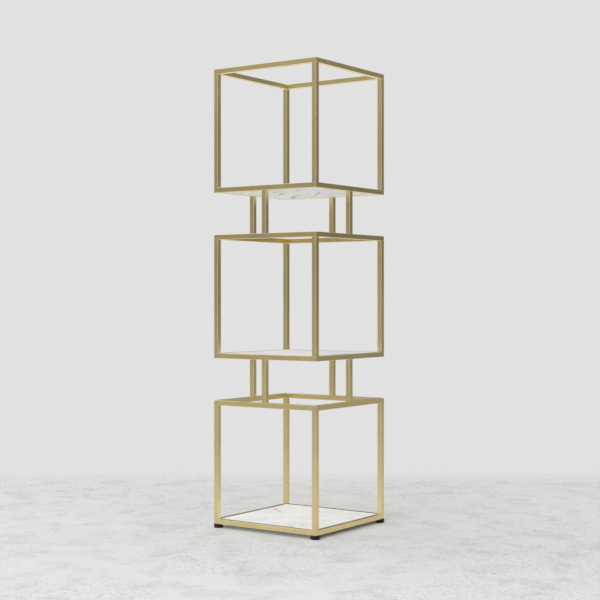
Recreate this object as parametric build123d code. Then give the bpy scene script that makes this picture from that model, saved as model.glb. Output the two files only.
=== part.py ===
from build123d import *
import os

# Three-tier open display shelf: three cube frames of square tube stand one above another on short posts, and
# each cube carries a stone slab in its base ring. Millimetres, +Z up, the front faces -Y. The origin is on the
# floor, under the middle of the shelf. Every node is one piece, or one group of identical fasteners.

# Frames
CUBE = 400.0  # side of each cube frame, outside to outside
GAP = 136.0  # clear height between one cube and the next
TUBE = 16.0  # square tube, outside
WALL = 1.2  # tube wall
TUBE_RADIUS = 1.0  # outer corner of the tube
BORE_RADIUS = 0.3  # inner corner of the tube
TIERS = ("lower", "middle", "upper")

# Slabs and what they rest on: flat tabs on the rails, let into pockets in the slab's underside
SLAB_THICKNESS = 15.0
SLAB_CLEARANCE = 0.7  # between the slab's edge and the rail, on each side
SLAB_ARRIS = 0.8  # softened edge of the stone
TAB_LENGTH = 22.0  # along the rail
TAB_REACH = 14.0  # out from the rail, under the slab
TAB_THICKNESS = 2.0
TAB_LIFT = 0.5  # from the ring's underside to the tab's
TAB_OFFSET = 110.0  # from the middle of the rail to each tab
POCKET_PLAY = 1.5  # round the tab, in the slab's pocket
BUMPER_DIAMETER = 9.0
BUMPER_THICKNESS = 1.0

# Levelling feet: a swivel pad on an M6 stud, in a threaded bush at each corner
FOOT_HEIGHT = 12.0
FOOT_DIAMETER = 30.0
FOOT_INSET = 10.5  # from the cube's outer faces to the stud's axis
FOOT_EDGE = 1.2  # rounding of the pad's rim
SOLE = 2.5  # solid plastic under the stud's head
HEAD_POCKET_DIAMETER = 11.4
HEAD_POCKET_HEIGHT = 4.0
NECK_HOLE_DIAMETER = 6.6
LIP = 1.5  # ring of the pad that holds the head in
HEX_POCKET_DIAMETER = 12.4
HEAD_DIAMETER = 11.0
HEAD_PLAY = 0.2  # axial clearance below the head
HEAD_THICKNESS = 3.5
HEX_FLATS = 10.0
HEX_HEIGHT = 3.0
STUD_DIAMETER = 5.9  # M6
STUD_TOP_PLAY = 0.8  # between the stud's end and the rail's upper wall
STUD_TIP_CHAMFER = 0.6

# Threaded bush for each foot
BUSH_BORE = 6.0
BUSH_DIAMETER = 9.0
BUSH_LENGTH = 11.4  # above the rail's underside
BUSH_FLANGE_DIAMETER = 10.4
BUSH_FLANGE = 0.6
HOLE_PLAY = 0.1  # added to a hole's diameter for what sits in it

# Post fasteners: an M5 screw inside the rail, reached through a capped hole in the rail's other wall
POST_SCREW_DIAMETER = 5.0
POST_SCREW_LENGTH = 10.0  # below the head
POST_HEAD_DIAMETER = 8.6
POST_HEAD_HEIGHT = 2.8
HEX_SOCKET_FLATS = 3.0
HEX_SOCKET_DEPTH = 1.8
SCREW_HOLE_DIAMETER = 5.4
ACCESS_DIAMETER = 9.6
PLUG_LENGTH = 12.0
PLUG_CLEARANCE = 0.05  # between the plug and the tube's inner wall, on each side
CAP_SKIRT_DEPTH = 2.4  # below the capped wall
CAP_SKIRT_WALL = 0.8

# Worked out from the above
PITCH = CUBE + GAP  # rise from one tier to the next
BORE = TUBE - 2 * WALL  # inside of the tube
OPENING = CUBE - 2 * TUBE  # clear square inside a ring
UPRIGHT = CUBE - 2 * TUBE
TUBE_CENTRE = CUBE / 2 - TUBE / 2
SLAB_LIFT = TUBE - SLAB_THICKNESS  # from a ring's underside to the slab's
SEAT = TAB_LIFT + TAB_THICKNESS + BUMPER_THICKNESS  # from a ring's underside to the pockets' ceilings
FOOT_CENTRE = CUBE / 2 - FOOT_INSET
SIDES = {"front": 0, "right": 90, "back": 180, "left": 270}
CORNERS = {"front_left": 0, "front_right": 90, "back_right": 180, "back_left": 270}
ON_FLOOR = (Align.CENTER, Align.CENTER, Align.MIN)


def rod(diameter, height, z=0.0):
    """Upright cylinder that starts at height z."""
    return Pos(0, 0, z) * Cylinder(diameter / 2, height, align=ON_FLOOR)


def tube(length):
    """Upright square tube that stands on z = 0."""
    outer = RectangleRounded(TUBE, TUBE, TUBE_RADIUS)
    inner = RectangleRounded(BORE, BORE, BORE_RADIUS)
    return extrude(outer - inner, amount=length)


def at_sides(shape):
    """Four copies of what belongs to the front, one for each side."""
    return [Rot(0, 0, turn) * shape for turn in SIDES.values()]


def rounded_ring():
    """Solid square ring with the tube's outer shape and softened corners, standing on z = 0."""
    block = Box(CUBE, CUBE, TUBE, align=ON_FLOOR)
    block = fillet(block.edges(), TUBE_RADIUS)
    ring = block - Box(OPENING, OPENING, TUBE, align=ON_FLOOR)
    inner_edges = ring.edges().filter_by(lambda edge: abs(edge.length - OPENING) < WALL)
    return fillet(inner_edges, TUBE_RADIUS)


def hollow_ring():
    """The ring with the tube's bore running all round it."""
    outer_bore = Box(CUBE - 2 * WALL, CUBE - 2 * WALL, BORE, align=ON_FLOOR)
    inner_bore = Box(OPENING + 2 * WALL, OPENING + 2 * WALL, BORE, align=ON_FLOOR)
    return rounded_ring() - Pos(0, 0, WALL) * (outer_bore - inner_bore)


def with_post_holes(ring, post_above):
    """A screw hole in the wall that meets the post and an access hole in the opposite wall, on each side."""
    to_screw_wall = TUBE - WALL if post_above else 0.0
    to_access_wall = 0.0 if post_above else TUBE - WALL
    screw_hole = rod(SCREW_HOLE_DIAMETER, WALL, to_screw_wall)
    access_hole = rod(ACCESS_DIAMETER, WALL, to_access_wall)
    for hole in at_sides(Pos(0, -TUBE_CENTRE, 0) * (screw_hole + access_hole)):
        ring = ring - hole
    return ring


def with_foot_holes(ring):
    """A hole for the foot's bush through the underside of each corner."""
    for hole in at_sides(Pos(-FOOT_CENTRE, -FOOT_CENTRE, 0) * rod(BUSH_DIAMETER + HOLE_PLAY, WALL)):
        ring = ring - hole
    return ring


def front_rail(ring):
    """The front quarter of a ring, mitred at both ends."""
    reach = CUBE
    quarter = extrude(Polygon((0, 0), (-reach, -reach), (reach, -reach), align=None), amount=TUBE)
    return (ring & quarter).solid()


def slab_tab():
    """Flat tab on the front rail's inner face, in the middle of the rail. The ring's underside is z = 0."""
    tab = Box(TAB_LENGTH, TAB_REACH, TAB_THICKNESS, align=(Align.CENTER, Align.MIN, Align.MIN))
    return Pos(0, -OPENING / 2, TAB_LIFT) * tab


def tab_pocket():
    """What the slab's underside loses round the slab tab."""
    length = TAB_LENGTH + 2 * POCKET_PLAY
    reach = TAB_REACH + POCKET_PLAY
    pocket = Box(length, reach, SEAT, align=(Align.CENTER, Align.MIN, Align.MIN))
    return Pos(0, -OPENING / 2, 0) * pocket


def slab_bumper():
    """Soft disc on the slab tab."""
    disc = rod(BUMPER_DIAMETER, BUMPER_THICKNESS, TAB_LIFT + TAB_THICKNESS)
    return Pos(0, (TAB_REACH - OPENING) / 2, 0) * disc


def round_slab(piece):
    """Two copies of the piece on each side of the slab."""
    pair = [Pos(offset, 0, 0) * piece for offset in (-TAB_OFFSET, TAB_OFFSET)]
    return [copy for one in pair for copy in at_sides(one)]


def in_every_tier(pieces):
    """The pieces again in every tier, each at its height above that tier's underside."""
    return [Pos(0, 0, tier_base(level)) * piece for level in range(len(TIERS)) for piece in pieces]


def slab():
    """Stone slab with softened edges and a pocket over each tab. The ring's underside is z = 0."""
    side = OPENING - 2 * SLAB_CLEARANCE
    block = Box(side, side, SLAB_THICKNESS, align=ON_FLOOR)
    stone = Pos(0, 0, SLAB_LIFT) * fillet(block.edges(), SLAB_ARRIS)
    for pocket in round_slab(tab_pocket()):
        stone = stone - pocket
    return stone


def foot_pad():
    """Round pad on z = 0, with a snap-in pocket for the stud's head and a recess for its hexagon."""
    body = rod(FOOT_DIAMETER, FOOT_HEIGHT)
    body = fillet(body.edges().filter_by(GeomType.CIRCLE), FOOT_EDGE)
    pocket = rod(HEAD_POCKET_DIAMETER, HEAD_POCKET_HEIGHT, SOLE)
    neck_hole = rod(NECK_HOLE_DIAMETER, LIP, SOLE + HEAD_POCKET_HEIGHT)
    recess_floor = SOLE + HEAD_POCKET_HEIGHT + LIP
    recess = rod(HEX_POCKET_DIAMETER, FOOT_HEIGHT - recess_floor, recess_floor)
    return body - (pocket + neck_hole + recess)


def foot_stud():
    """Stud with a captive head, a hexagon for a spanner and a plain shank at the thread's size."""
    head = rod(HEAD_DIAMETER, HEAD_THICKNESS, SOLE + HEAD_PLAY)
    hex_bottom = FOOT_HEIGHT - BUSH_FLANGE - HEAD_PLAY - HEX_HEIGHT
    flats_to_corner = RegularPolygon(HEX_FLATS / 2, 6, major_radius=False)
    hexagon = Pos(0, 0, hex_bottom) * extrude(flats_to_corner, amount=HEX_HEIGHT)
    shank_top = FOOT_HEIGHT + TUBE - WALL - STUD_TOP_PLAY
    shank_bottom = SOLE + HEAD_PLAY + HEAD_THICKNESS
    shank = rod(STUD_DIAMETER, shank_top - shank_bottom, shank_bottom)
    shank = chamfer(shank.edges().group_by(Axis.Z)[-1], STUD_TIP_CHAMFER)
    return head + hexagon + shank


def foot_bush():
    """Threaded bush in the underside of the lowest ring, with a thin flange below it."""
    barrel = rod(BUSH_DIAMETER, BUSH_LENGTH)
    flange = rod(BUSH_FLANGE_DIAMETER, BUSH_FLANGE, -BUSH_FLANGE)
    hole = rod(BUSH_BORE, BUSH_LENGTH + BUSH_FLANGE, -BUSH_FLANGE)
    return Pos(0, 0, FOOT_HEIGHT) * (barrel + flange - hole)


def post_plug():
    """Square threaded plug that fills the end of a post, its outer face on z = 0 and its body above."""
    side = BORE - 2 * PLUG_CLEARANCE
    body = extrude(RectangleRounded(side, side, BORE_RADIUS), amount=PLUG_LENGTH)
    return body - rod(POST_SCREW_DIAMETER + HOLE_PLAY, PLUG_LENGTH)


def post_screw():
    """Round-headed screw that points up: its head's seat is at z = -WALL, so it grips the rail's wall."""
    head = rod(POST_HEAD_DIAMETER, POST_HEAD_HEIGHT, -WALL - POST_HEAD_HEIGHT)
    head = fillet(head.edges().group_by(Axis.Z)[0], POST_HEAD_HEIGHT / 2)
    shank = rod(POST_SCREW_DIAMETER, POST_SCREW_LENGTH, -WALL)
    socket = Pos(0, 0, -WALL - POST_HEAD_HEIGHT) * extrude(
        RegularPolygon(HEX_SOCKET_FLATS / 2, 6, major_radius=False), amount=HEX_SOCKET_DEPTH
    )
    return head + shank - socket


def hole_cap():
    """Flush cap in the access hole below the screw's head, with a hollow skirt that grips the hole."""
    bottom = -TUBE
    disc = rod(ACCESS_DIAMETER - HOLE_PLAY, WALL, bottom)
    skirt = rod(ACCESS_DIAMETER - HOLE_PLAY, CAP_SKIRT_DEPTH, bottom + WALL)
    hollow = rod(ACCESS_DIAMETER - HOLE_PLAY - 2 * CAP_SKIRT_WALL, CAP_SKIRT_DEPTH, bottom + WALL)
    return disc + skirt - hollow


def tier_base(level):
    """Height of a tier's underside above the floor."""
    return FOOT_HEIGHT + level * PITCH


def at_post_ends(piece):
    """Copies of a piece made for a post's lower end, at both ends of every post."""
    flipped = Rot(180, 0, 0) * piece
    placed = []
    for level in range(len(TIERS) - 1):
        lower_end = Pos(0, -TUBE_CENTRE, tier_base(level) + CUBE) * piece
        upper_end = Pos(0, -TUBE_CENTRE, tier_base(level + 1)) * flipped
        placed += at_sides(lower_end) + at_sides(upper_end)
    return placed


def group(shapes):
    """One node made of separate solids."""
    return Compound(children=[solid for shape in shapes for solid in shape.solids()])


def build_frames():
    """Rails and uprights of the three cubes, by node name."""
    nodes = {}
    plain_ring = hollow_ring()
    last = len(TIERS) - 1
    held_from_below = with_post_holes(plain_ring, post_above=False)
    holding_posts = with_post_holes(plain_ring, post_above=True)
    for level, tier in enumerate(TIERS):
        base_ring = with_foot_holes(plain_ring) if level == 0 else held_from_below
        top_ring = plain_ring if level == last else holding_posts
        base_rail = Pos(0, 0, tier_base(level)) * front_rail(base_ring)
        top_rail = Pos(0, 0, tier_base(level) + CUBE - TUBE) * front_rail(top_ring)
        upright = Pos(-TUBE_CENTRE, -TUBE_CENTRE, tier_base(level) + TUBE) * tube(UPRIGHT)
        for side, turn in SIDES.items():
            nodes[f"{tier}_base_rail_{side}"] = Rot(0, 0, turn) * base_rail
            nodes[f"{tier}_top_rail_{side}"] = Rot(0, 0, turn) * top_rail
        for corner, turn in CORNERS.items():
            nodes[f"{tier}_upright_{corner}"] = Rot(0, 0, turn) * upright
    return nodes


def build_posts():
    """Posts between the cubes and their fasteners, by node name."""
    nodes = {}
    for level, tier in enumerate(TIERS[1:]):
        post = Pos(0, -TUBE_CENTRE, tier_base(level) + CUBE) * tube(GAP)
        for side, turn in SIDES.items():
            nodes[f"post_{side}_below_{tier}"] = Rot(0, 0, turn) * post
    nodes["post_screws"] = group(at_post_ends(post_screw()))
    nodes["screw_hole_caps"] = group(at_post_ends(hole_cap()))
    return nodes


def build_slabs():
    """Slabs, and the tabs and bumpers they rest on, by node name."""
    stone = slab()
    nodes = {f"{tier}_slab": Pos(0, 0, tier_base(level)) * stone for level, tier in enumerate(TIERS)}
    nodes["slab_tabs"] = group(in_every_tier(round_slab(slab_tab())))
    nodes["slab_bumpers"] = group(in_every_tier(round_slab(slab_bumper())))
    return nodes


def build_feet():
    """Levelling feet and every threaded insert, by node name."""
    nodes = {}
    place = Pos(-FOOT_CENTRE, -FOOT_CENTRE, 0)
    for corner, turn in CORNERS.items():
        nodes[f"foot_pad_{corner}"] = Rot(0, 0, turn) * place * foot_pad()
        nodes[f"foot_stud_{corner}"] = Rot(0, 0, turn) * place * foot_stud()
    nodes["threaded_inserts"] = group(at_sides(place * foot_bush()) + at_post_ends(post_plug()))
    return nodes


os.makedirs("parts", exist_ok=True)
for name, shape in {**build_frames(), **build_posts(), **build_slabs(), **build_feet()}.items():
    export_step(shape, f"parts/{name}.step")
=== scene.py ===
import math

import bpy
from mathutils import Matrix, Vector


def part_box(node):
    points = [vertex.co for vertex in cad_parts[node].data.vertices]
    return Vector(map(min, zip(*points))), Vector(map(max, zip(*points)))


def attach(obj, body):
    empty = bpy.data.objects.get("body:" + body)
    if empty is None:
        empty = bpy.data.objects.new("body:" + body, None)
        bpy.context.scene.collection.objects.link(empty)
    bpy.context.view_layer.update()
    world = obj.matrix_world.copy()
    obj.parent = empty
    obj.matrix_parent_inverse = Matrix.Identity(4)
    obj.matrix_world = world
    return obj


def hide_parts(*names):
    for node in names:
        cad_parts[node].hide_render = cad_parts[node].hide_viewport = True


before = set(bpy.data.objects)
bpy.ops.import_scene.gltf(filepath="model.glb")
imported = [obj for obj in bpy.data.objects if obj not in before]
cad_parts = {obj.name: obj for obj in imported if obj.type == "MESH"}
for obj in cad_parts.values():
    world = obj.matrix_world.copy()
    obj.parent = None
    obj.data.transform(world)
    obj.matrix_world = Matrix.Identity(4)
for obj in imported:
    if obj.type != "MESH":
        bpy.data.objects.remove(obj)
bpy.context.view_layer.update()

# ---------------------------------------------------------------------------------------------------------------
# The shelf's own sizes, in metres, read from the frame

MM = 0.001
TIERS = ("lower", "middle", "upper")
SIDES = ("front", "right", "back", "left")
CORNERS = ("front_left", "front_right", "back_right", "back_left")


def size_of(node):
    low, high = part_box(node)
    return high - low


def middle_of(node):
    low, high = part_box(node)
    return (low + high) / 2


TUBE = size_of("lower_upright_front_left").x
TUBE_CENTRE = middle_of("lower_upright_front_right").x  # from the shelf's middle plane to a tube's axis
CUBE = 2 * TUBE_CENTRE + TUBE
CUBE_MIDDLE = middle_of("lower_upright_front_left").z
TIER_PITCH = middle_of("middle_upright_front_left").z - CUBE_MIDDLE
FOOT_CENTRE = Vector((*middle_of("foot_stud_front_left").xy, 0))

# ---------------------------------------------------------------------------------------------------------------
# Shader maths as Python


class Shade:
    """A socket in a material's node tree. Sums of values become Math nodes."""

    def __init__(self, tree, socket=None):
        self.tree = tree
        self.socket = socket

    def node(self, kind, settings=None, sockets=None, output=0):
        """A node of this kind, with its settings made first and then its sockets given values or links."""
        made = self.tree.nodes.new(kind)
        for key, value in (settings or {}).items():
            setattr(made, key, value)
        for key, value in (sockets or {}).items():
            if isinstance(value, Shade):
                self.tree.links.new(value.socket, made.inputs[key])
            else:
                made.inputs[key].default_value = value
        return Shade(self.tree, made.outputs[output] if made.outputs else None)

    def math(self, operation, *values):
        return self.node("ShaderNodeMath", {"operation": operation}, dict(enumerate(values)))

    def __add__(self, other):
        return self.math("ADD", self, other)

    def __radd__(self, other):
        return self.math("ADD", other, self)

    def __sub__(self, other):
        return self.math("SUBTRACT", self, other)

    def __rsub__(self, other):
        return self.math("SUBTRACT", other, self)

    def __mul__(self, other):
        return self.math("MULTIPLY", self, other)

    def __rmul__(self, other):
        return self.math("MULTIPLY", other, self)

    def __truediv__(self, other):
        return self.math("DIVIDE", self, other)

    def __rtruediv__(self, other):
        return self.math("DIVIDE", other, self)

    def __abs__(self):
        return self.math("ABSOLUTE", self)

    def rise(self, low, high):
        """0 below low, 1 above high, smooth between."""
        ends = {"From Min": low, "From Max": high, "Value": self}
        return self.node("ShaderNodeMapRange", {"interpolation_type": "SMOOTHSTEP"}, ends)

    def line(self, level, width):
        """1 where this passes through a level, falling to 0 at a width from it."""
        return 1 - abs(self - level).rise(0.0, width)

    def blend(self, low, high):
        """Colour low where this is 0, high where it is 1."""
        settings = {"data_type": "RGBA", "clamp_factor": True}
        return self.node("ShaderNodeMix", settings, {0: self, 6: low, 7: high}, output=2)

    def noise(self, points, scale, detail=2.0, roughness=0.5, distortion=0.0):
        """Noise from about 0.2 to 0.8, its scale in features to the metre."""
        sockets = {"Vector": points, "Scale": scale, "Detail": detail, "Roughness": roughness}
        return self.node("ShaderNodeTexNoise", None, {**sockets, "Distortion": distortion})

    def vectors(self, operation, *values, output=0):
        return self.node("ShaderNodeVectorMath", {"operation": operation}, dict(enumerate(values)), output)

    def coordinate(self, axis):
        """X, Y or Z of this place or direction."""
        return self.node("ShaderNodeSeparateXYZ", None, {0: self}, "XYZ".index(axis))

    def towards(self, direction):
        """How far this place lies in a direction, or how nearly this ray points there."""
        return self.vectors("DOT_PRODUCT", self, direction, output=1)


def grey(level):
    return (level, level, level, 1.0)


def new_material(name):
    """A material with nothing in it but its output, and a start for its sums."""
    material = bpy.data.materials.new(name)
    material.use_nodes = True
    material.node_tree.nodes.clear()
    return material, Shade(material.node_tree)


def surface(start, sockets):
    """The material's one shader, joined to its output."""
    shader = start.node("ShaderNodeBsdfPrincipled", None, sockets)
    start.node("ShaderNodeOutputMaterial", None, {"Surface": shader})


def bump(start, strength, height):
    return start.node("ShaderNodeBump", None, {"Strength": strength, "Distance": 1.0, "Height": height})


def own_place(start):
    """A point's place in the shelf's frame, in metres."""
    return start.node("ShaderNodeTexCoord", output=3)


def object_points(start, stretch=(1.0, 1.0, 1.0), shift=(0.0, 0.0, 0.0)):
    """Object coordinates in metres, stretched and shifted."""
    mapping = {"Vector": own_place(start), "Location": shift, "Scale": stretch}
    return start.node("ShaderNodeMapping", {"vector_type": "POINT"}, mapping)


def from_cube_middle(place):
    """A place's height above the middle of the cube that it is in."""
    height = place.coordinate("Z") - CUBE_MIDDLE
    return height.math("WRAP", height, TIER_PITCH / 2, -TIER_PITCH / 2)


# ---------------------------------------------------------------------------------------------------------------
# Satin gold

# Paler gold for the rounded corners: partly handling wear, partly a painted highlight along them
GOLD_WORN_AND_HIGHLIT = (0.92, 0.785, 0.43, 1.0)
GOLD = (0.87, 0.73, 0.38, 1.0)
GOLD_DULL = (0.80, 0.665, 0.34, 1.0)
SEAM = (0.42, 0.35, 0.18, 1.0)
ARRIS_START, ARRIS_END = 0.84, 0.97  # share of half a tube, from its axis, where the rounded corner begins and ends
SEAM_WIDTH = 0.25 * MM
BRUSH_FINE, BRUSH_SLOW = 2400.0, 20.0  # brush lines to the metre, counted across them and along them
BRUSH_DEPTH = 0.005 * MM
PIT_DEPTH = 0.002 * MM
SEAM_DEPTH = 0.02 * MM


def from_tube_axes(start, axis):
    """How far a point lies from the nearest tube's axis, along one of X, Y and Z, as a share of half a tube."""
    place = own_place(start)
    offset = from_cube_middle(place) if axis == "Z" else place.coordinate(axis)
    return offset.math("PINGPONG", abs(offset), TUBE_CENTRE / 2) / (TUBE / 2)


def satin_gold(name, along, seam):
    """Satin gold plate on brushed square tube: brush lines along one axis, arrises paler for wear and a painted
    highlight, a fine seam at a weld.
    """
    material, start = new_material(name)
    stretch = tuple(BRUSH_SLOW if axis == along else BRUSH_FINE for axis in "XYZ")
    streaks = start.noise(object_points(start, stretch), 1.0, 3.0, 0.6)
    cloud = start.noise(object_points(start), 9.0, 4.0, 0.55, 0.3)
    pits = start.noise(object_points(start), 700.0, 2.0, 0.5)
    across = [from_tube_axes(start, axis) for axis in "XYZ" if axis != along]
    arris = across[0].rise(ARRIS_START, ARRIS_END) * across[1].rise(ARRIS_START, ARRIS_END)
    weld = seam(start)
    tone = cloud.rise(0.25, 0.75) * 0.7 + streaks.rise(0.2, 0.8) * 0.3
    height = (streaks * BRUSH_DEPTH + pits * PIT_DEPTH) * (1 - arris) - weld * SEAM_DEPTH
    surface(start, {
        # The arrises take the paler gold, partly wear and partly a painted highlight
        "Base Color": weld.blend(arris.blend(tone.blend(GOLD_DULL, GOLD), GOLD_WORN_AND_HIGHLIT), SEAM),
        "Metallic": 1.0,
        "Roughness": 0.19 + streaks * 0.08 + cloud * 0.05 - arris * 0.05 + weld * 0.15,
        "Normal": bump(start, 0.3, height),
    })
    return material


def mitre_seam(start):
    """1 along the welds where two rails meet corner to corner."""
    place = own_place(start)
    return abs(place.coordinate("X")).line(abs(place.coordinate("Y")), SEAM_WIDTH)


def butt_seam(start):
    """1 along the welds at an upright's two ends."""
    return abs(from_cube_middle(own_place(start))).line(CUBE / 2 - TUBE, SEAM_WIDTH)


def no_seam(start):
    """0 everywhere: a post is screwed at both ends and has no weld."""
    return start.node("ShaderNodeValue")


# ---------------------------------------------------------------------------------------------------------------
# White marble

STONE = (0.885, 0.885, 0.885, 1.0)
STONE_CLOUD = (0.76, 0.765, 0.77, 1.0)
VEIN = (0.30, 0.31, 0.325, 1.0)
FOLD_WIDTH, HAIR_WIDTH = 0.022, 0.008  # how broad the veins and the hairlines are, on their noises' own scale
STREAK_DRIFT = 0.03  # in metres, how far a streak may wander
POLISH_GRAIN = 0.01 * MM

# Each slab's place in the stone, and its dark streaks: middle (x, y), turn in degrees, reach and half width
STONES = {
    "lower": ((0.0, 0.0, 0.0), (
        ((-0.134, 0.061), -35, 0.085, 0.004), ((0.160, 0.056), 20, 0.020, 0.009),
        ((0.010, -0.027), 30, 0.030, 0.004), ((0.118, -0.021), 50, 0.030, 0.004),
        ((0.136, 0.136), 0, 0.020, 0.005),
    )),
    "middle": ((3.7, 1.3, 0.9), (
        ((0.060, 0.090), 35, 0.060, 0.003), ((-0.080, -0.100), 60, 0.050, 0.004),
    )),
    "upper": ((7.1, 2.9, 1.7), (
        ((-0.124, 0.140), -46, 0.060, 0.015), ((-0.075, 0.080), -41, 0.085, 0.009),
        ((-0.058, -0.026), -50, 0.060, 0.010), ((0.077, -0.110), -30, 0.060, 0.009),
        ((0.012, 0.075), -51, 0.060, 0.006), ((-0.163, -0.099), -45, 0.040, 0.006),
        ((0.112, 0.083), -35, 0.035, 0.016), ((0.060, 0.020), -48, 0.070, 0.007),
        ((-0.020, -0.100), -40, 0.070, 0.008),
    )),
}


def stone_streak(wander, place, turn, reach, width):
    """A short dark streak in the stone, centred on a place and turned in the slab's plane."""
    sockets = {
        "Vector": wander,
        "Location": (*place, 0.0),
        "Rotation": (0.0, 0.0, math.radians(turn)),
        "Scale": (reach, width, 1.0),
    }
    local = wander.node("ShaderNodeMapping", {"vector_type": "TEXTURE"}, sockets)
    along, across = abs(local.coordinate("X")), abs(local.coordinate("Y"))
    return (1 - along).rise(0.0, 0.8) * (1 - across).rise(0.0, 1.0)


def wandering_place(start, points):
    """A point's own place, put off a little by noise, which gives a streak its crooked edge."""
    noise = start.node("ShaderNodeTexNoise", None, {"Vector": points, "Scale": 22.0, "Detail": 4.0}, output=1)
    drift = start.vectors("SUBTRACT", noise, (0.5, 0.5, 0.5))
    drift = start.node("ShaderNodeVectorMath", {"operation": "SCALE"}, {0: drift, "Scale": STREAK_DRIFT})
    return start.vectors("ADD", own_place(start), drift)


def white_marble(name, shift, streaks):
    """White marble: soft grey clouds, fine veins that come and go, and this slab's own dark streaks."""
    material, start = new_material(name)
    points = object_points(start, shift=shift)
    cloud = start.noise(points, 5.5, 6.0, 0.6, 0.8)
    patches = start.noise(points, 3.0, 3.0, 0.5, 0.4)
    folds = start.noise(points, 4.2, 7.0, 0.55, 1.4)
    hairs = start.noise(points, 11.0, 6.0, 0.6, 1.0)
    grains = start.noise(points, 1400.0, 2.0)
    vein = folds.line(0.5, FOLD_WIDTH) * patches.rise(0.45, 0.62)
    hair = hairs.line(0.5, HAIR_WIDTH) * (1 - patches).rise(0.42, 0.6)
    dark = start.math("MAXIMUM", vein * 0.45, hair * 0.3)
    broken = hairs.rise(0.2, 0.6) * 0.6 + 0.4
    wander = wandering_place(start, points)
    for streak in streaks:
        dark = start.math("MAXIMUM", dark, stone_streak(wander, *streak) * broken)
    surface(start, {
        "Base Color": dark.blend(cloud.rise(0.35, 0.72).blend(STONE, STONE_CLOUD), VEIN),
        "Roughness": 0.42 + dark * 0.12 + grains * 0.06,
        "Specular IOR Level": 0.35,
        "Normal": bump(start, 0.1, grains * POLISH_GRAIN),
    })
    return material


# ---------------------------------------------------------------------------------------------------------------
# Nylon, zinc and silicone

MOULD_GRAIN = 0.03 * MM
NYLON, NYLON_WORN = 0.004, 0.009
ZINC_DULL, ZINC = 0.5, 0.66
SILICONE_DULL, SILICONE = 0.6, 0.75


def black_nylon(name):
    material, start = new_material(name)
    grain = start.noise(object_points(start), 1800.0, 3.0)
    surface(start, {
        "Base Color": grain.blend(grey(NYLON), grey(NYLON_WORN)),
        "Roughness": 0.34 + grain * 0.15,
        "Specular IOR Level": 0.22,
        "Normal": bump(start, 0.3, grain * MOULD_GRAIN),
    })
    return material


def zinc_plate(name):
    material, start = new_material(name)
    cloud = start.noise(object_points(start), 300.0, 3.0)
    surface(start, {
        "Base Color": cloud.blend(grey(ZINC_DULL), grey(ZINC)),
        "Metallic": 1.0,
        "Roughness": 0.28 + cloud * 0.15,
    })
    return material


def clear_silicone(name):
    material, start = new_material(name)
    cloud = start.noise(object_points(start), 500.0, 2.0)
    surface(start, {
        "Base Color": cloud.blend(grey(SILICONE_DULL), grey(SILICONE)),
        "Roughness": 0.35 + cloud * 0.1,
        "Transmission Weight": 0.5,
    })
    return material


# ---------------------------------------------------------------------------------------------------------------
# Modelling

SMOOTH_BELOW = math.radians(35)
TURNING_STEPS, FINE_TURNING_STEPS = 64, 96
SAME_PLACE = MM / 1000  # vertices nearer than this are one


def pick(*pieces):
    """Selects these pieces alone, the first one active."""
    bpy.ops.object.select_all(action="DESELECT")
    for piece in pieces:
        piece.select_set(True)
    bpy.context.view_layer.objects.active = pieces[0]


def start_profile(name, first):
    """A new object at the origin in edit mode, with one vertex at the profile's first (radius, height) in mm."""
    bpy.ops.object.select_all(action="DESELECT")
    bpy.ops.mesh.primitive_plane_add(size=MM)
    piece = bpy.context.object
    piece.name = name
    bpy.ops.object.mode_set(mode="EDIT")
    bpy.ops.mesh.select_mode(type="VERT")
    bpy.ops.mesh.select_all(action="SELECT")
    bpy.ops.mesh.merge(type="CENTER")
    bpy.ops.transform.translate(value=(first[0] * MM, 0, first[1] * MM))
    return piece


def draw_profile(profile):
    """Extrudes the selected vertex from point to point of the profile."""
    for (radius, height), (next_radius, next_height) in zip(profile, profile[1:]):
        step = ((next_radius - radius) * MM, 0, (next_height - height) * MM)
        bpy.ops.mesh.extrude_region_move(TRANSFORM_OT_translate={"value": step})
    bpy.ops.mesh.select_all(action="SELECT")


def close_up():
    """Joins the seams and poles of the piece in edit mode and turns its faces outwards."""
    bpy.ops.mesh.select_all(action="SELECT")
    bpy.ops.mesh.remove_doubles(threshold=SAME_PLACE)
    bpy.ops.mesh.normals_make_consistent(inside=False)
    bpy.ops.object.mode_set(mode="OBJECT")


def turned(name, profile, steps=TURNING_STEPS):
    """A piece turned round the Z axis from a profile that starts and ends on it."""
    piece = start_profile(name, profile[0])
    draw_profile(profile)
    bpy.ops.mesh.spin(steps=steps, angle=math.tau, center=(0, 0, 0), axis=(0, 0, 1))
    close_up()
    return piece


def soften(piece, width, segments=2):
    """Rounds the piece's sharp edges. The width is in mm."""
    pick(piece)
    modifier = piece.modifiers.new("soften", "BEVEL")
    modifier.width = width * MM
    modifier.segments = segments
    modifier.limit_method = "ANGLE"
    modifier.angle_limit = SMOOTH_BELOW
    bpy.ops.object.modifier_apply(modifier=modifier.name)


def join(pieces):
    pick(*pieces)
    bpy.ops.object.join()
    return bpy.context.object


def set_down(piece, place, turn=(0, 0, 0)):
    """Turns and moves the piece, and keeps its object at the origin."""
    pick(piece)
    piece.rotation_euler = turn
    piece.location = place
    bpy.ops.object.transform_apply(location=True, rotation=True, scale=True)
    return piece


def carry_round(piece, quarter):
    """Takes the piece round the shelf's middle by quarter turns."""
    return set_down(piece, (0, 0, 0), (0, 0, quarter * math.pi / 2))


def copy_of(piece, name, place=(0, 0, 0), turn=(0, 0, 0)):
    pick(piece)
    bpy.ops.object.duplicate()
    copy = bpy.context.object
    copy.name = name
    return set_down(copy, place, turn)


def shade(piece):
    pick(piece)
    bpy.ops.object.shade_smooth_by_angle(angle=SMOOTH_BELOW)


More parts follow.
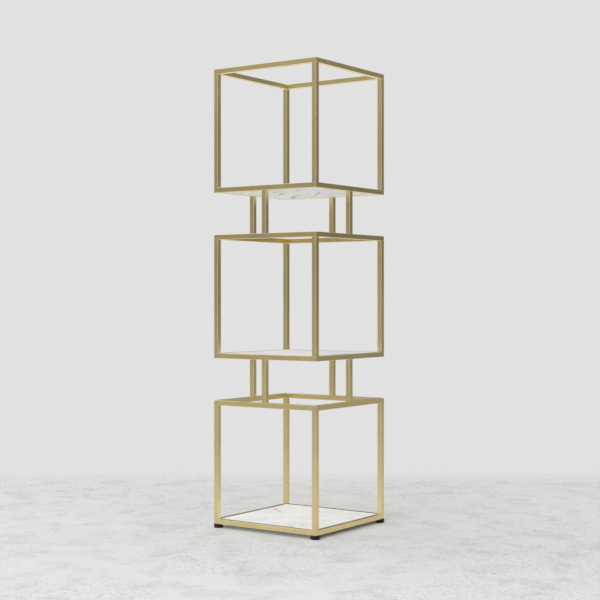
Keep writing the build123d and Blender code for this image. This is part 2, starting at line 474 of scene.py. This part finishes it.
def at_every_corner(master, node, body, finish):
    """The master piece at the front left foot, and its copies at the other three."""
    for quarter, corner in enumerate(CORNERS):
        piece = copy_of(master, f"{node}_{corner}_detailed")
        set_down(piece, FOOT_CENTRE)
        carry_round(piece, quarter)
        piece.data.materials.append(finish)
        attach(piece, f"{body}_{corner}")
        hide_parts(f"{node}_{corner}")
    bpy.data.objects.remove(master)


def gather(master, copies, node, finish):
    """Joins a master's copies into one piece that stands for the CAD node."""
    bpy.data.objects.remove(master)
    piece = join(copies)
    piece.name = f"{node}_detailed"
    piece.data.materials.append(finish)
    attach(piece, "frame")
    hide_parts(node)


# ---------------------------------------------------------------------------------------------------------------
# The feet. Their profiles' radii and heights are in mm.

PAD_SOFTENING = 0.15
THREAD_PITCH, THREAD_CORE, THREAD_CREST = 1.0, 2.46, 2.95
THREAD_START, THREAD_TURNS, THREAD_STEPS = 9.6, 15, 32
SPANNER_SIZE = 10.0
HEXAGON_HEIGHT, HEXAGON_MIDDLE = 3.0, 9.7


def make_foot_pad():
    """Moulded pad: hollow-ground sole, a groove above the sole's lip, a rounded shoulder and the stud's pocket."""
    pad = turned("foot_pad", [
        (0, 0.5), (8.4, 0.5), (9.2, 0), (13.5, 0), (14.2, 0.25), (14.6, 0.8), (14.6, 1.9), (14.0, 2.2),
        (14.0, 2.8), (14.8, 3.1), (15.0, 3.5), (15.0, 10.4), (14.85, 11.1), (14.4, 11.65), (13.6, 11.95),
        (13.0, 12.0), (10.6, 12.0), (10.3, 11.6), (9.6, 11.6), (9.3, 12.0), (7.2, 12.0), (6.2, 11.2), (6.2, 8.0),
        (3.3, 8.0), (3.3, 6.5), (5.7, 6.5), (5.7, 2.5), (0, 2.5),
    ], FINE_TURNING_STEPS)
    soften(pad, PAD_SOFTENING)
    shade(pad)
    return pad


def make_hexagon():
    """The hexagon for a spanner, its corners chamfered by the barrel that it is cut from."""
    bpy.ops.object.select_all(action="DESELECT")
    corner = SPANNER_SIZE / 2 / math.cos(math.pi / 6)
    bpy.ops.mesh.primitive_cylinder_add(vertices=6, radius=corner * MM, depth=HEXAGON_HEIGHT * MM)
    hexagon = set_down(bpy.context.object, (0, 0, HEXAGON_MIDDLE * MM))
    outline = [(0, 8.2), (4.9, 8.2), (6.0, 8.8), (6.0, 10.6), (4.9, 11.2), (0, 11.2)]
    barrel = turned("barrel", outline, FINE_TURNING_STEPS)
    pick(hexagon)
    chamfer = hexagon.modifiers.new("chamfer", "BOOLEAN")
    chamfer.operation = "INTERSECT"
    chamfer.object = barrel
    bpy.ops.object.modifier_apply(modifier=chamfer.name)
    bpy.data.objects.remove(barrel)
    return hexagon


def make_thread():
    """M6 thread, wound turn by turn from its profile and closed by a low cone at each end."""
    thread = start_profile("thread", (THREAD_CORE, THREAD_START))
    draw_profile([
        (THREAD_CORE, 0), (THREAD_CORE, 0.12), (THREAD_CREST, 0.44),
        (THREAD_CREST, 0.56), (THREAD_CORE, 0.88), (THREAD_CORE, THREAD_PITCH),
    ])
    bpy.ops.object.mode_set(mode="OBJECT")
    winding = thread.modifiers.new("winding", "SCREW")
    winding.axis = "Z"
    winding.angle = math.tau
    winding.screw_offset = THREAD_PITCH * MM
    winding.iterations = THREAD_TURNS
    winding.steps = winding.render_steps = THREAD_STEPS
    bpy.ops.object.modifier_apply(modifier=winding.name)
    bpy.ops.object.mode_set(mode="EDIT")
    bpy.ops.mesh.select_all(action="SELECT")
    bpy.ops.mesh.remove_doubles(threshold=SAME_PLACE)
    bpy.ops.mesh.select_mode(type="EDGE")
    bpy.ops.mesh.select_all(action="DESELECT")
    bpy.ops.mesh.select_non_manifold()
    bpy.ops.mesh.fill_holes(sides=0)
    bpy.ops.mesh.select_mode(type="FACE")
    bpy.ops.mesh.poke()
    close_up()
    return thread


def make_foot_stud():
    """Screw foot: a captive head, a neck, a hexagon for a spanner, the thread and its plain tip."""
    head = turned("foot_stud", [
        (0, 2.7), (5.0, 2.7), (5.5, 3.2), (5.5, 5.7), (5.0, 6.2), (2.9, 6.2), (2.9, 8.6), (0, 8.6),
    ])
    hexagon = make_hexagon()
    thread = make_thread()
    tip = turned("tip", [(0, 24.9), (2.4, 24.9), (2.4, 25.6), (2.0, 26.0), (0, 26.0)])
    stud = join([head, hexagon, thread, tip])
    shade(stud)
    return stud


def fit_feet():
    at_every_corner(make_foot_pad(), "foot_pad", "foot_pad", black_nylon("black_nylon"))
    at_every_corner(make_foot_stud(), "foot_stud", "foot_stud", zinc_plate("zinc_plate"))


# ---------------------------------------------------------------------------------------------------------------
# The slabs and their bumpers

BUMPER_RADIUS = 4.5 * MM
BUMPER_STEPS, CAP_STEPS = 40, 48  # fewer than usual, as there are many of both
TAB_OFFSET = 0.110  # from the middle of a side to the middle of a tab
TAB_TOP = 0.0025  # above a ring's underside


def finish_with(node, material):
    """Gives a CAD node's mesh this one material."""
    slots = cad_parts[node].data.materials
    slots.clear()
    slots.append(material)


def make_bumper():
    """Soft clear bumper, a low dome on a flat back."""
    bumper = turned("slab_bumpers_domed", [
        (0, 0), (4.3, 0), (4.5, 0.12), (4.45, 0.35), (4.1, 0.62), (3.4, 0.82), (2.3, 0.94), (1.2, 0.99), (0, 1.0),
    ], BUMPER_STEPS)
    shade(bumper)
    return bumper


def fit_bumpers():
    """Two bumpers on the tabs of each rail of the three base rings."""
    bumper = make_bumper()
    reach = size_of("slab_bumpers").y / 2 - BUMPER_RADIUS
    copies = []
    for tier in TIERS:
        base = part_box(f"{tier}_base_rail_front")[0].z
        for quarter in range(4):
            for offset in (-TAB_OFFSET, TAB_OFFSET):
                copy = copy_of(bumper, "bumper", (offset, -reach, base + TAB_TOP))
                copies.append(carry_round(copy, quarter))
    gather(bumper, copies, "slab_bumpers", clear_silicone("clear_silicone"))


def finish_slabs():
    for tier, (shift, streaks) in STONES.items():
        finish_with(f"{tier}_slab", white_marble(f"marble_{tier}", shift, streaks))
    fit_bumpers()


# ---------------------------------------------------------------------------------------------------------------
# The frames, their caps and their fasteners


def make_cap():
    """Low domed cap with a fine groove round its rim and a hollow skirt, its outer face down on z = 0."""
    cap = turned("screw_hole_caps_domed", [
        (0, -0.30), (1.6, -0.28), (2.9, -0.19), (3.8, -0.06), (4.2, 0.06), (4.35, 0.2), (4.5, 0.2), (4.6, 0.03),
        (4.75, 0.0), (4.75, 3.6), (3.95, 3.6), (3.95, 1.2), (0, 1.2),
    ], CAP_STEPS)
    shade(cap)
    return cap


def fit_caps(finish):
    """Caps in the rails' outer walls, over and under the posts."""
    cap = make_cap()
    copies = []
    for below, above in zip(TIERS, TIERS[1:]):
        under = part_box(f"{below}_top_rail_front")[0].z
        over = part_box(f"{above}_base_rail_front")[1].z
        for quarter in range(4):
            for height, flip in ((under, 0), (over, math.pi)):
                copy = copy_of(cap, "cap", (0, 0, 0), (flip, 0, 0))
                set_down(copy, (0, -TUBE_CENTRE, height))
                copies.append(carry_round(copy, quarter))
    gather(cap, copies, "screw_hole_caps", finish)


def finish_frames():
    gold = {
        "X": satin_gold("satin_gold_rail_x", "X", mitre_seam),
        "Y": satin_gold("satin_gold_rail_y", "Y", mitre_seam),
        "Z": satin_gold("satin_gold_upright", "Z", butt_seam),
    }
    post_gold = satin_gold("satin_gold_post", "Z", no_seam)
    for tier in TIERS:
        for ring in ("base", "top"):
            for side in SIDES:
                axis = "X" if side in ("front", "back") else "Y"
                finish_with(f"{tier}_{ring}_rail_{side}", gold[axis])
        for corner in CORNERS:
            finish_with(f"{tier}_upright_{corner}", gold["Z"])
    for tier in TIERS[1:]:
        for side in SIDES:
            finish_with(f"post_{side}_below_{tier}", post_gold)
    finish_with("slab_tabs", gold["X"])
    fit_caps(gold["X"])


def finish_fasteners():
    zinc = zinc_plate("zinc_inserts")
    finish_with("threaded_inserts", zinc)
    finish_with("post_screws", zinc)


# ---------------------------------------------------------------------------------------------------------------
# Camera

VIEW_AZIMUTH = math.radians(34.95)
CAMERA_HEIGHT = 0.7459
CAMERA_DISTANCE = 4.3552
LENS = 79.72
SENSOR = 36.0
FRAMING_SHIFT = -0.00475

AWAY = Vector((-math.sin(VIEW_AZIMUTH), math.cos(VIEW_AZIMUTH), 0))
RIGHTWARDS = Vector((math.cos(VIEW_AZIMUTH), math.sin(VIEW_AZIMUTH), 0))
UP = Vector((0, 0, 1))


def from_view(right, away, up):
    """A place given as seen by someone at the camera, from the middle of the floor under the shelf."""
    return RIGHTWARDS * right + AWAY * away + UP * up


def place_camera():
    data = bpy.data.cameras.new("camera")
    data.lens = LENS
    data.sensor_width = SENSOR
    data.shift_y = FRAMING_SHIFT
    camera = bpy.data.objects.new("camera", data)
    bpy.context.scene.collection.objects.link(camera)
    camera.location = from_view(0, -CAMERA_DISTANCE, CAMERA_HEIGHT)
    camera.rotation_euler = AWAY.to_track_quat("-Z", "Y").to_euler()
    bpy.context.scene.camera = camera


# ---------------------------------------------------------------------------------------------------------------
# Floor

FLOOR_RADIUS = 2.6
CONCRETE, CONCRETE_DARK = 0.64, 0.455
RIM_START, RIM_END = 0.58 * FLOOR_RADIUS, 0.94 * FLOOR_RADIUS  # where the floor's rim begins to melt, and is gone
FADE_START, FADE_END = 0.90, 1.40  # how far behind the shelf the floor begins to melt into the backdrop, and is gone
FADE_WOBBLE = 0.3  # how far the mottle carries that edge to and fro


def pale_concrete(name):
    """Pale mottled concrete that melts into the backdrop behind the shelf and towards the floor's rim."""
    material, start = new_material(name)
    points = object_points(start)
    patches = start.noise(points, 1.7, 5.0, 0.6, 0.4)
    mottle = start.noise(points, 9.0, 8.0, 0.68, 0.5)
    flecks = start.noise(points, 30.0, 5.0, 0.7, 1.0)
    specks = start.noise(points, 75.0, 3.0, 0.7)
    speckled = specks.rise(0.53, 0.61) * patches.rise(0.40, 0.55)
    dark = mottle.rise(0.44, 0.68) * 0.5 + flecks.rise(0.54, 0.66) * 0.25 + speckled * 0.7
    concrete = start.node("ShaderNodeBsdfPrincipled", None, {
        "Base Color": dark.blend(grey(CONCRETE), grey(CONCRETE_DARK)),
        "Roughness": 0.7,
        "Specular IOR Level": 0.2,
        "Normal": bump(start, 0.2, mottle * MM),
    })
    place = own_place(start)
    outward = start.vectors("LENGTH", place, output=1)
    edge = (place.towards(AWAY) + (mottle - 0.5) * FADE_WOBBLE).rise(FADE_START, FADE_END)
    fade = start.math("MAXIMUM", edge, outward.rise(RIM_START, RIM_END))
    clear = start.node("ShaderNodeBsdfTransparent")
    mix = start.node("ShaderNodeMixShader", None, {0: fade, 1: concrete, 2: clear})
    start.node("ShaderNodeOutputMaterial", None, {"Surface": mix})
    return material


def lay_floor():
    bpy.ops.mesh.primitive_circle_add(vertices=96, radius=FLOOR_RADIUS, fill_type="NGON")
    floor = bpy.context.object
    floor.name = "floor"
    floor.data.materials.append(pale_concrete("pale_concrete"))


# ---------------------------------------------------------------------------------------------------------------
# Studio light. A rise is given as the sines of the angles above or below the horizon where it begins and is full.

BACKDROP = 0.755  # how bright the empty studio looks
HORIZON = 0.20
HORIZON_TILT = 0.03  # the left is brighter by this much, the right darker
HORIZON_COLOUR = (1.0, 0.965, 0.86, 1.0)
HORIZON_EDGE = (0.02, 0.25)
CEILING = 1.12
CEILING_TILT = 0.26
CEILING_RISE = (0.06, 0.62)
GROUND = 0.95
GROUND_RISE = (0.03, 0.2)
PANEL = 1.9  # a bright panel on the camera's left, which lights the frames' upright corners
PANEL_TURN = math.radians(32)
PANEL_RISE = (0.90, 0.99)  # cosines of the angles from the panel's middle to its edge and to its full light
PANEL_BOTTOM, PANEL_TOP = (-0.15, 0.0), (0.25, 0.5)
BEHIND_SHADE = 0.62  # the wall behind the shelf is dim in reflections
BEHIND_RISE = (0.6, 0.95)
BEHIND_BOTTOM = (0.08, 0.16)
KEY_POWER, FILL_POWER = 17, 600


def studio_world():
    """An even backdrop for the eye, and for light and reflections a dim horizon under a bright white ceiling."""
    world = bpy.data.worlds.new("studio")
    world.use_nodes = True
    world.node_tree.nodes.clear()
    start = Shade(world.node_tree)
    ray = start.node("ShaderNodeTexCoord", output=0)
    height = ray.coordinate("Z")
    leftwards = ray.towards(-RIGHTWARDS)
    horizon = HORIZON + leftwards * HORIZON_TILT
    ceiling = height.rise(*CEILING_RISE) * (leftwards * CEILING_TILT + CEILING - HORIZON)
    ground = (0 - height).rise(*GROUND_RISE) * (GROUND - HORIZON)
    to_panel = ray.towards(-AWAY * math.cos(PANEL_TURN) - RIGHTWARDS * math.sin(PANEL_TURN))
    panel = to_panel.rise(*PANEL_RISE) * height.rise(*PANEL_BOTTOM) * (1 - height.rise(*PANEL_TOP)) * PANEL
    behind = 1 - ray.towards(AWAY).rise(*BEHIND_RISE) * height.rise(*BEHIND_BOTTOM) * BEHIND_SHADE
    seen = start.node("ShaderNodeLightPath", output=0)
    light = (horizon + ceiling + ground + panel) * behind * (1 - seen) + seen * BACKDROP
    away_from_horizon = start.math("MAXIMUM", abs(height).rise(*HORIZON_EDGE), seen)
    colour = away_from_horizon.blend(HORIZON_COLOUR, grey(1.0))
    background = start.node("ShaderNodeBackground", None, {"Color": colour, "Strength": light})
    start.node("ShaderNodeOutputWorld", None, {"Surface": background})
    bpy.context.scene.world = world


def add_softbox(name, place, aim, width, height, power):
    """A softbox aimed at a place, and not seen itself. Its size is in metres and its power in watts."""
    light = bpy.data.lights.new(name, "AREA")
    light.shape = "RECTANGLE"
    light.size = width
    light.size_y = height
    light.energy = power
    holder = bpy.data.objects.new(name, light)
    bpy.context.scene.collection.objects.link(holder)
    holder.location = place
    holder.rotation_euler = (aim - place).to_track_quat("-Z", "Y").to_euler()
    holder.visible_camera = False
    return holder


def light_studio():
    """A softbox high on the left, and a wide one far behind the camera that no piece reflects."""
    studio_world()
    add_softbox(
        "key_softbox", place=from_view(-2.9, 1.8, 3.4), aim=from_view(0, 0, 0.7), width=2.0, height=2.0, power=KEY_POWER
    )
    fill = add_softbox(
        "fill_softbox", place=from_view(-2.5, -7.0, 1.4), aim=from_view(0, 0.3, 0.1),
        width=6.0, height=2.0, power=FILL_POWER,
    )
    fill.visible_glossy = False


# ---------------------------------------------------------------------------------------------------------------
# The shelf in its studio

bpy.ops.object.select_all(action="DESELECT")
bpy.context.scene.view_settings.view_transform = "Standard"
finish_frames()
finish_slabs()
finish_fasteners()
fit_feet()
lay_floor()
light_studio()
place_camera()
